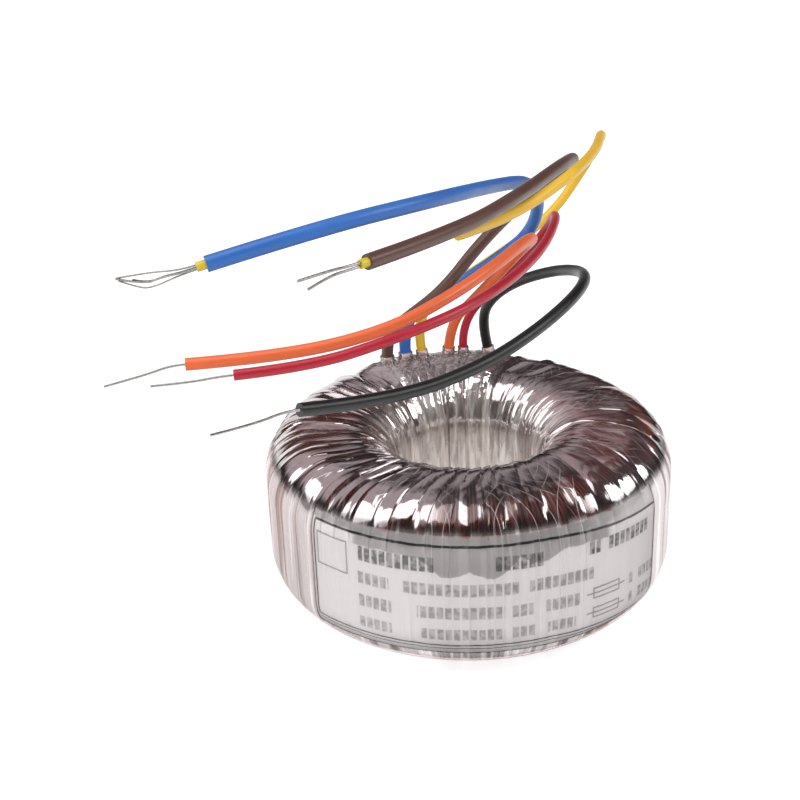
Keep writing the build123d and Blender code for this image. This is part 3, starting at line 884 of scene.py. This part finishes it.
def wrap_tree():
    """A closed skin round the ring: lapped edges that lean over the top, and creases that crowd
    into the bore."""
    tree, group, names = tree_with(
        "Film wrap",
        {
            "Section": "Object",
            "Turns": "Int",
            "Steps per Turn": "Int",
            "Steps Along": "Int",
            "Edge Height": "Float",
            "Crease Height": "Float",
            "Hump Height": "Float",
            "Hump Middle": "Float",
            "Lean": "Float",
            "Material": "Material",
        },
    )
    given = group.outputs
    steps = given["Steps per Turn"]
    around_steps = add(tree, MATHS, [given["Turns"], steps, 1.0], operation="MULTIPLY_ADD")
    links = {"Size X": 1.0, "Size Y": 1.0, "Vertices X": given["Steps Along"], "Vertices Y": around_steps}
    grid = add(tree, "GeometryNodeMeshGrid", links)
    where = add(tree, "GeometryNodeInputPosition")
    flat = add(tree, "ShaderNodeSeparateXYZ", {0: where})
    # A turn's flat part takes most of it, and an edge wanders by as much as this many turns
    flat_share, wander_turns = 0.96, 1.5
    along = add(tree, MATHS, [flat.outputs["X"], 0.5], operation="ADD")
    around = add(tree, MATHS, [flat.outputs["Y"], 0.5], operation="ADD")
    line = add(tree, "GeometryNodeObjectInfo", {"Object": given["Section"]}).outputs["Geometry"]
    sample = add(tree, "GeometryNodeSampleCurve", {"Curves": line, "Factor": along}, mode="FACTOR")
    point = add(tree, "ShaderNodeSeparateXYZ", {0: sample.outputs["Position"]})
    way = add(tree, "ShaderNodeSeparateXYZ", {0: sample.outputs["Tangent"]})
    back = add(tree, MATHS, [way.outputs["X"], -1.0], operation="MULTIPLY")
    outward = add(tree, "ShaderNodeCombineXYZ", {"X": way.outputs["Z"], "Z": back})
    radius, height = point.outputs["X"], point.outputs["Z"]
    length = add(tree, "GeometryNodeCurveLength", {0: line})
    run = add(tree, MATHS, [along, length], operation="MULTIPLY")

    # Each turn's columns of points span it, and the last gap is the narrow step at its edge
    last = add(tree, MATHS, [around_steps, 1.0], operation="SUBTRACT")
    column = add(tree, MATHS, [around, last], operation="MULTIPLY")
    column = add(tree, MATHS, [column], operation="ROUND")
    turn = add(tree, MATHS, [column, 0.5], operation="ADD")
    turn = add(tree, MATHS, [turn, steps], operation="DIVIDE")
    turn = add(tree, MATHS, [turn], operation="FLOOR")
    first = add(tree, MATHS, [turn, steps], operation="MULTIPLY")
    in_turn = add(tree, MATHS, [column, first], operation="SUBTRACT")
    last_in_turn = add(tree, MATHS, [steps, 1.0], operation="SUBTRACT")
    lap = add(tree, MATHS, [in_turn, last_in_turn], operation="DIVIDE")
    share = add(tree, MATHS, [lap, flat_share, turn], operation="MULTIPLY_ADD")
    share = add(tree, MATHS, [share, given["Turns"]], operation="DIVIDE")
    plain_angle = add(tree, MATHS, [share, 2 * math.pi], operation="MULTIPLY")
    ring = ring_vector(tree, plain_angle, run)
    inward = add(tree, RANGE, [radius, 0.0345, 0.013], **SMOOTH)
    lean = add(tree, MATHS, [inward, given["Lean"]], operation="MULTIPLY")
    wander = drawn_out(tree, ring, 4.971 * MM, 33.3 * MM)
    wander = add(tree, MATHS, [wander, 0.5], operation="SUBTRACT")
    shift = add(tree, MATHS, [wander, wander_turns, lean], operation="MULTIPLY_ADD")
    shift = add(tree, MATHS, [shift, given["Turns"]], operation="DIVIDE")
    angle = add(tree, MATHS, [shift, 2 * math.pi, plain_angle], operation="MULTIPLY_ADD")
    which = add(tree, MATHS, [turn, given["Turns"]], operation="FLOORED_MODULO")
    rise = wrap_rise(tree, given, which, lap, ring, run, angle, radius, height)
    push = add(tree, "ShaderNodeVectorMath", {0: outward, "Scale": rise}, operation="SCALE")
    stood = add(tree, "ShaderNodeVectorMath", {0: sample.outputs["Position"], 1: push}, operation="ADD")
    links = {"Vector": stood, "Angle": angle}
    turned = add(tree, "ShaderNodeVectorRotate", links, rotation_type="Z_AXIS")
    kept = add(
        tree,
        "GeometryNodeStoreNamedAttribute",
        {"Geometry": grid.outputs["Mesh"], "Name": "along", "Value": run},
        data_type="FLOAT",
        domain="POINT",
    )
    skin = add(tree, "GeometryNodeSetPosition", {"Geometry": kept, "Position": turned})
    closed = add(tree, "GeometryNodeMergeByDistance", {"Geometry": skin, "Distance": 0.002 * MM})
    outside = add(tree, "GeometryNodeFlipFaces", {"Mesh": closed})
    finish_tree(tree, outside, given["Material"])
    return tree, names


def per_turn(tree, which, run, seed, length):
    """Noise about nothing, which differs from turn to turn and changes along each in this length."""
    # So far apart in the noise that neighbours have nothing in common
    apart = 5.37
    across = add(tree, MATHS, [which, apart, seed], operation="MULTIPLY_ADD")
    along = add(tree, MATHS, [run, 1 / length], operation="MULTIPLY")
    where = add(tree, "ShaderNodeCombineXYZ", [across, along])
    noise = add(tree, NOISE, {"Vector": where, "Scale": 1.0, "Detail": 1.0})
    return add(tree, MATHS, [noise, 0.5], operation="SUBTRACT")


def wrap_rise(tree, given, which, lap, ring, run, angle, radius, height):
    """How far the film stands out at each place, in metres."""
    tilt_share, lift_share, bow_share, crowd_share = 6.5, 0.7, 0.5, 2.0
    deepest = -0.12 * MM

    # Loose over the top and in the bore, tight on the wall, and flat where the ring stands
    top = add(tree, RANGE, [height, 0.02, 0.027], **SMOOTH)
    bore = add(tree, RANGE, [radius, 0.02, 0.015], **SMOOTH)
    off_floor = add(tree, RANGE, [height, 0.0006, 0.005], **SMOOTH)
    tight = add(tree, RANGE, [height, 0.006, 0.022, 0.04, 0.14], **SMOOTH)
    loose = add(tree, MATHS, [top, bore], operation="MAXIMUM")
    loose = add(tree, MATHS, [loose, tight], operation="MAXIMUM")
    loose = add(tree, MATHS, [loose, off_floor], operation="MULTIPLY")

    # Each turn ends in a step, leans, lifts and bows by its own amount, and crowds in the bore
    edge = add(tree, MATHS, [given["Edge Height"], loose], operation="MULTIPLY")
    edge = add(tree, MATHS, [lap, edge], operation="MULTIPLY")
    off_middle = add(tree, MATHS, [lap, 0.5], operation="SUBTRACT")
    tilt = per_turn(tree, which, run, 0.0, 22.2 * MM)
    tilt = add(tree, MATHS, [off_middle, tilt], operation="MULTIPLY")
    lift = per_turn(tree, which, run, 400.0, 33.3 * MM)
    lift = add(tree, MATHS, [lift, lift_share], operation="MULTIPLY")
    bow = add(tree, MATHS, [off_middle, off_middle], operation="MULTIPLY")
    bow = add(tree, MATHS, [bow, bow_share], operation="MULTIPLY")
    shape = add(tree, MATHS, [tilt, tilt_share, lift], operation="MULTIPLY_ADD")
    shape = add(tree, MATHS, [shape, bow], operation="SUBTRACT")
    outward = add(tree, RANGE, [radius, 0.013, 0.033, 0.5, 1.0], **SMOOTH)
    shape = add(tree, MATHS, [shape, outward], operation="MULTIPLY")
    crowded = drawn_out(tree, ring, 4.971 * MM, 25.0 * MM, 1.0)
    crowded = add(tree, MATHS, [crowded, 0.5], operation="SUBTRACT")
    crowded = add(tree, MATHS, [crowded], operation="ABSOLUTE")
    crowded = add(tree, MATHS, [crowded, bore], operation="MULTIPLY")
    crowded = add(tree, MATHS, [crowded, crowd_share], operation="MULTIPLY")
    shape = add(tree, MATHS, [shape, crowded], operation="ADD")
    crease = add(tree, MATHS, [shape, given["Crease Height"]], operation="MULTIPLY")
    crease = add(tree, MATHS, [crease, loose], operation="MULTIPLY")

    # The hump over the sleeves
    away = add(tree, MATHS, [angle, given["Hump Middle"]], operation="SUBTRACT")
    away = add(tree, MATHS, [away], operation="ABSOLUTE")
    near = add(tree, RANGE, [away, 0.56, 0.36], **SMOOTH)
    hump = add(tree, MATHS, [near, given["Hump Height"]], operation="MULTIPLY")
    off_bore = add(tree, RANGE, [radius, 0.015, 0.021], **SMOOTH)
    off_bore = add(tree, MATHS, [top, off_bore], operation="MULTIPLY")
    hump = add(tree, MATHS, [hump, off_bore], operation="MULTIPLY")
    rise = add(tree, MATHS, [edge, crease], operation="ADD")
    rise = add(tree, MATHS, [rise, hump], operation="ADD")
    return add(tree, MATHS, [rise, deepest], operation="MAXIMUM")


def make_wrap(settings):
    """The film wrap: one skin, with a step at each turn's edge."""
    sizes = BORE_RADIUS, WRAP_WALL, FILM_LOW.z, WRAP_TOP, WRAP_BORE_CORNER, WRAP_OUTER_CORNER
    line = section_curve("wrap_line", *sizes)
    tree, names = wrap_tree()
    wrap = from_tree(
        "pleated_wrap",
        tree,
        names,
        {
            "Section": line,
            "Turns": settings.turns,
            "Steps per Turn": 8,
            "Steps Along": 160,
            "Edge Height": settings.edge_height,
            "Crease Height": settings.crease_height,
            "Hump Height": settings.hump_height,
            "Hump Middle": EXIT_TURN,
            "Lean": settings.lean,
            "Material": polyester_wrap(),
        },
    )
    bpy.data.objects.remove(line)
    # The steps at the edges are sharp and the creases are soft
    wrap.data.set_sharp_from_angle(angle=math.radians(22))
    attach(wrap, "root")
    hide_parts("film_wrap")


# Stage


def make_floor():
    half = FLOOR_SIZE / 2
    corners = [(-half, -half, 0), (half, -half, 0), (half, half, 0), (-half, half, 0)]
    mesh = bpy.data.meshes.new("floor")
    mesh.from_pydata(corners, [], [(0, 1, 2, 3)])
    piece = in_scene("floor", mesh)
    give(piece, studio_paper())


def seen_rays(tree):
    """One for rays from the camera, from gloss and through clear things."""
    path = add(tree, "ShaderNodeLightPath").outputs
    seen = add(tree, MATHS, [path["Is Camera Ray"], path["Is Glossy Ray"]], operation="MAXIMUM")
    return add(tree, MATHS, [seen, path["Is Transmission Ray"]], operation="MAXIMUM")


def studio_paper():
    """White seamless paper: matt, and lit so that only the shadow shows on it."""
    made, tree = material("White studio paper")
    paper = add(tree, "ShaderNodeBsdfDiffuse", {"Color": linear("#BDBDBD")})
    glow = add(tree, MATHS, [seen_rays(tree), 0.75], operation="MULTIPLY")
    lift = add(tree, "ShaderNodeEmission", {"Color": WHITE, "Strength": glow})
    whole = add(tree, "ShaderNodeAddShader", {0: paper, 1: lift})
    add(tree, "ShaderNodeOutputMaterial", {"Surface": whole})
    return made


def wall_paint():
    """Dark studio walls, uneven in tone: they give the film something dark to mirror. They are
    darkest low down and behind the camera, and lightest to the left."""
    made, tree = material("Dark studio walls")
    where = add(tree, "ShaderNodeTexCoord").outputs["Object"]
    axes = add(tree, "ShaderNodeSeparateXYZ", {0: where}).outputs
    high = add(tree, RANGE, [axes["Z"], 0.2, 0.4], **SMOOTH)
    forward = add(tree, RANGE, [axes["Y"], -0.5, -0.25], **SMOOTH)
    high = add(tree, MATHS, [high, forward], operation="MINIMUM")
    left = add(tree, MATHS, [axes["X"], -0.4], operation="MULTIPLY")
    tone = add(tree, NOISE, {"Vector": where, "Scale": 1 / (294 * MM), "Detail": 1.0})
    tone = add(tree, MATHS, [tone, left], operation="ADD")
    tone = add(tree, RANGE, [tone, 0.34, 0.7], **SMOOTH)
    tone = add(tree, MATHS, [tone, high], operation="MULTIPLY")
    dark = add(tree, MIX, {0: high, 6: linear("#1E191A"), 7: linear("#463E43")}, data_type="RGBA").outputs[2]
    colour = add(tree, MIX, {0: tone, 6: dark, 7: linear("#C4B9BD")}, data_type="RGBA").outputs[2]
    paint = add(tree, "ShaderNodeEmission", {"Color": colour, "Strength": 1.0})
    add(tree, "ShaderNodeOutputMaterial", {"Surface": paint})
    return made


def make_walls():
    """A dome of dark walls round the set, which only gloss sees."""
    steps, rows = 24, 5
    lowest, highest = 5.0, 84.0
    corners = []
    for row in range(rows + 1):
        up = math.radians(lowest + (highest - lowest) * row / rows)
        flat = WALLS_RADIUS * math.cos(up)
        for step in range(steps):
            turn = 2 * math.pi * step / steps
            corners.append((flat * math.cos(turn), flat * math.sin(turn), WALLS_RADIUS * math.sin(up)))
    faces = [tuple(range(rows * steps, (rows + 1) * steps))]
    for row in range(rows):
        for step in range(steps):
            low, after = row * steps + step, row * steps + (step + 1) % steps
            faces.append((low, after, after + steps, low + steps))
    mesh = bpy.data.meshes.new("studio_walls")
    mesh.from_pydata(corners, [], faces)
    walls = in_scene("studio_walls", mesh)
    give(walls, wall_paint())
    for kind in ("camera", "diffuse", "transmission", "volume_scatter", "shadow"):
        setattr(walls, f"visible_{kind}", False)


def make_lamp(name, place_at, size, power, mirrored):
    """A round soft box that faces the ring."""
    data = bpy.data.lights.new(name, "AREA")
    data.shape = "DISK"
    data.size = size
    data.energy = power
    lamp = in_scene(name, data)
    lamp.location = place_at
    lamp.rotation_euler = (-Vector(place_at)).to_track_quat("-Z", "Y").to_euler()
    lamp.visible_glossy = mirrored


def make_world(strength):
    """An even light, which looks white wherever it is seen and lights things at the strength given."""
    world = bpy.data.worlds.new("Studio")
    bpy.context.scene.world = world
    world.use_nodes = True
    tree = world.node_tree
    tree.nodes.clear()
    path_strength = add(tree, RANGE, [seen_rays(tree), 0.0, 1.0, strength, 1.0], **SMOOTH)
    light = add(tree, "ShaderNodeBackground", {"Color": WHITE, "Strength": path_strength})
    add(tree, "ShaderNodeOutputWorld", {0: light})


def make_camera(settings):
    data = bpy.data.cameras.new("Camera")
    data.lens = settings.lens
    data.sensor_width = 36.0
    data.clip_start = 0.01
    camera = in_scene("Camera", data)
    camera.location = settings.camera_place
    camera.rotation_euler = settings.camera_turn
    bpy.context.scene.camera = camera


# Settings, operators and panel


def number_property(label, description, value, unit="NONE"):
    """A number's setting, in its unit."""
    return FloatProperty(name=label, description=description, default=value, unit=unit)


def length_property(label, description, size):
    """A small length's setting, from millimetres."""
    return FloatProperty(name=label, description=description, default=size * MM, unit="LENGTH", precision=5)


def colour_property(label, description, colour):
    """A colour's setting, from its sRGB hex colour."""
    return FloatVectorProperty(
        name=label, description=description, default=linear(colour)[:3], subtype="COLOR", min=0.0, max=1.0
    )


class StageSettings(bpy.types.PropertyGroup):
    """The camera and the light"""

    lens: number_property("Lens", "Focal length of the camera in mm", 62.14, "CAMERA")
    camera_place: FloatVectorProperty(
        name="Camera Place",
        description="Where the camera stands",
        default=(0.0, -0.2139, 0.1293),
        subtype="XYZ",
        unit="LENGTH",
    )
    camera_turn: FloatVectorProperty(
        name="Camera Turn",
        description="How the camera is turned",
        default=[math.radians(a) for a in (65.79, 1.95, 2.13)],
        subtype="EULER",
    )
    key_power: number_property("Key Power", "Power of the front box", 2.0, "POWER")
    fill_power: number_property("Fill Power", "Power of each side box", 1.5, "POWER")
    low_power: number_property("Low Power", "Power of each low front box", 2.8, "POWER")
    ambient: number_property("Ambient", "Strength of the even light", 0.44)


class WindingSettings(bpy.types.PropertyGroup):
    """The outer winding's turns"""

    turns: IntProperty(name="Turns", description="Turns in the layer that shows", default=232, min=2)
    wire_diameter: length_property("Wire Diameter", "Diameter over the enamel", 0.63)
    unevenness: length_property("Unevenness", "How far turns stray", 0.25)
    gap_middle: number_property("Gap Middle", "Middle of the gap in the turns", EXIT_TURN, "ROTATION")
    gap_half: number_property("Gap Half", "Half of the gap in the turns", math.radians(29.0), "ROTATION")


class WrapSettings(bpy.types.PropertyGroup):
    """The film wrap"""

    turns: IntProperty(name="Turns", description="Turns of film round the ring", default=68, min=8)
    edge_height: length_property("Edge Height", "Step at each film edge", 0.22)
    crease_height: length_property("Crease Height", "Depth of the creases", 0.6)
    hump_height: length_property("Hump Height", "Rise over the sleeves", 0.9)
    lean: number_property("Lean", "Turns that an edge crosses over the top", 1.5)


class LeadSettings(bpy.types.PropertyGroup):
    """The leads' colours"""

    brown: colour_property("Brown", "First mains lead", "#5B3D33")
    blue: colour_property("Blue", "Second mains lead", "#2D69B8")
    yellow: colour_property("Yellow", "Lead of the second secondary", "#E9BA2F")
    orange: colour_property("Orange", "Lead of the second secondary", "#EC6C38")
    red: colour_property("Red", "Lead of the first secondary", "#B51A31")
    black: colour_property("Black", "Lead of the first secondary", "#141312")
    inner: colour_property("Inner", "Inner insulation of the mains leads", "#D8BE2C")


class TRANSFORMER_OT_stage(bpy.types.Operator):
    """Make the camera, the lamps, the floor and what the film mirrors"""

    bl_idname = "transformer.stage"
    bl_label = "Stage"

    def execute(self, context):
        settings = context.scene.transformer_stage
        make_camera(settings)
        make_floor()
        make_walls()
        for name, place_at, size, power, share, mirrored in LAMPS:
            make_lamp(name, place_at, size, getattr(settings, power) * share, mirrored)
        make_world(settings.ambient)
        context.scene.view_settings.view_transform = "Standard"
        return {"FINISHED"}


class TRANSFORMER_OT_leads(bpy.types.Operator):
    """Make the six leads with their bare ends, and coat the inner insulation"""

    bl_idname = "transformer.leads"
    bl_label = "Leads"

    def execute(self, context):
        for lead in ROUTES:
            make_lead(lead, context.scene.transformer_leads)
        return {"FINISHED"}


class TRANSFORMER_OT_core(bpy.types.Operator):
    """Coat the core, its tape and the windings below the outer turns"""

    bl_idname = "transformer.core"
    bl_label = "Core and inner windings"

    def execute(self, context):
        nodes = frame["nodes"]
        give(nodes["core"], silicon_steel())
        give(nodes["core_insulation"], plain_tape("Core tape", "#E0CF92"))
        give(nodes["primary_winding"], enamelled_copper("Enamelled copper primary", 420))
        give(nodes["interwinding_insulation"], plain_tape("Barrier tape", "#D9D2C2"))
        give(nodes["secondary_1_winding"], enamelled_copper("Enamelled copper secondary", 232))
        return {"FINISHED"}


class TRANSFORMER_OT_turns(bpy.types.Operator):
    """Make the outer winding's turns of wire"""

    bl_idname = "transformer.turns"
    bl_label = "Outer turns"

    def execute(self, context):
        make_turns(context.scene.transformer_winding)
        return {"FINISHED"}


class TRANSFORMER_OT_label(bpy.types.Operator):
    """Print the label band"""

    bl_idname = "transformer.label"
    bl_label = "Label band"

    def execute(self, context):
        give(frame["nodes"]["label_band"], printed_label())
        return {"FINISHED"}


class TRANSFORMER_OT_wrap(bpy.types.Operator):
    """Make the film wrap and coat the sleeves"""

    bl_idname = "transformer.wrap"
    bl_label = "Film wrap and sleeves"

    def execute(self, context):
        make_wrap(context.scene.transformer_wrap)
        sleeve = film_sleeve()
        for lead in ROUTES:
            give(frame["nodes"][f"{lead}_exit_sleeve"], sleeve)
        return {"FINISHED"}


OPERATORS = (
    TRANSFORMER_OT_stage,
    TRANSFORMER_OT_leads,
    TRANSFORMER_OT_core,
    TRANSFORMER_OT_turns,
    TRANSFORMER_OT_label,
    TRANSFORMER_OT_wrap,
)
SETTINGS = {
    "transformer_stage": StageSettings,
    "transformer_leads": LeadSettings,
    "transformer_winding": WindingSettings,
    "transformer_wrap": WrapSettings,
}


class TRANSFORMER_PT_panel(bpy.types.Panel):
    """The transformer's pieces and their settings"""

    bl_label = "Toroidal Transformer"
    bl_space_type = "VIEW_3D"
    bl_region_type = "UI"
    bl_category = "Transformer"

    def draw(self, context):
        for group in SETTINGS:
            box = self.layout.box()
            for name in SETTINGS[group].__annotations__:
                box.prop(getattr(context.scene, group), name)
        for operator in OPERATORS:
            self.layout.operator(operator.bl_idname)


def register():
    for group, made in SETTINGS.items():
        bpy.utils.register_class(made)
        setattr(bpy.types.Scene, group, PointerProperty(type=made))
    for made in (*OPERATORS, TRANSFORMER_PT_panel):
        bpy.utils.register_class(made)


def unregister():
    for made in (TRANSFORMER_PT_panel, *reversed(OPERATORS)):
        bpy.utils.unregister_class(made)
    for group, made in reversed(SETTINGS.items()):
        delattr(bpy.types.Scene, group)
        bpy.utils.unregister_class(made)


def main():
    register()
    for operator in OPERATORS:
        group, name = operator.bl_idname.split(".")
        getattr(getattr(bpy.ops, group), name)()


if __name__ == "__main__":
    main()
